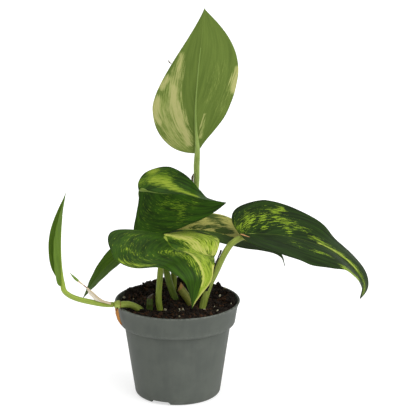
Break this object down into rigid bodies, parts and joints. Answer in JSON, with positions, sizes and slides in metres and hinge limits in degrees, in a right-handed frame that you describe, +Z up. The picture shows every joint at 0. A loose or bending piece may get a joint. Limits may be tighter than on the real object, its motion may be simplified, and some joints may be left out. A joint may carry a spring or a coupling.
{
  "type": "potted golden pothos",
  "caption": "Young climbing aroid with heart-shaped, yellow-flecked green leaves on long stalks, growing in peat in a tapered plastic nursery pot.",
  "frame": {"origin": "middle of the pot's floor where it rests, on the pot's axis", "axes": "+Z up along the pot's axis, +Y away from the front that the picture shows, +X to the right"},
  "size_m": [0.2264, 0.1208, 0.2796],
  "materials": {
    "pot_plastic": "satin",
    "peat": "matte",
    "leaf_green": "satin",
    "leaf_pale": "satin",
    "stem": "satin",
    "shoot_membrane": "satin",
    "dried_sheath": "matte",
    "brown_sheath": "satin"
  },
  "bodies": {
    "root": {"pot": "pot_plastic", "peat": "peat", "leaf_crown": "leaf_pale", "leaf_upper": "leaf_green", "leaf_front": "leaf_green", "leaf_back": "leaf_green", "leaf_right": "leaf_green", "leaf_low": "leaf_green", "leaf_young": "leaf_pale", "runner_stem": "stem", "cut_stem": "stem", "stem_stub": "stem", "new_shoot": "shoot_membrane", "black_sheath": "dried_sheath", "brown_sheath": "brown_sheath"}
  },
  "joints": []
}
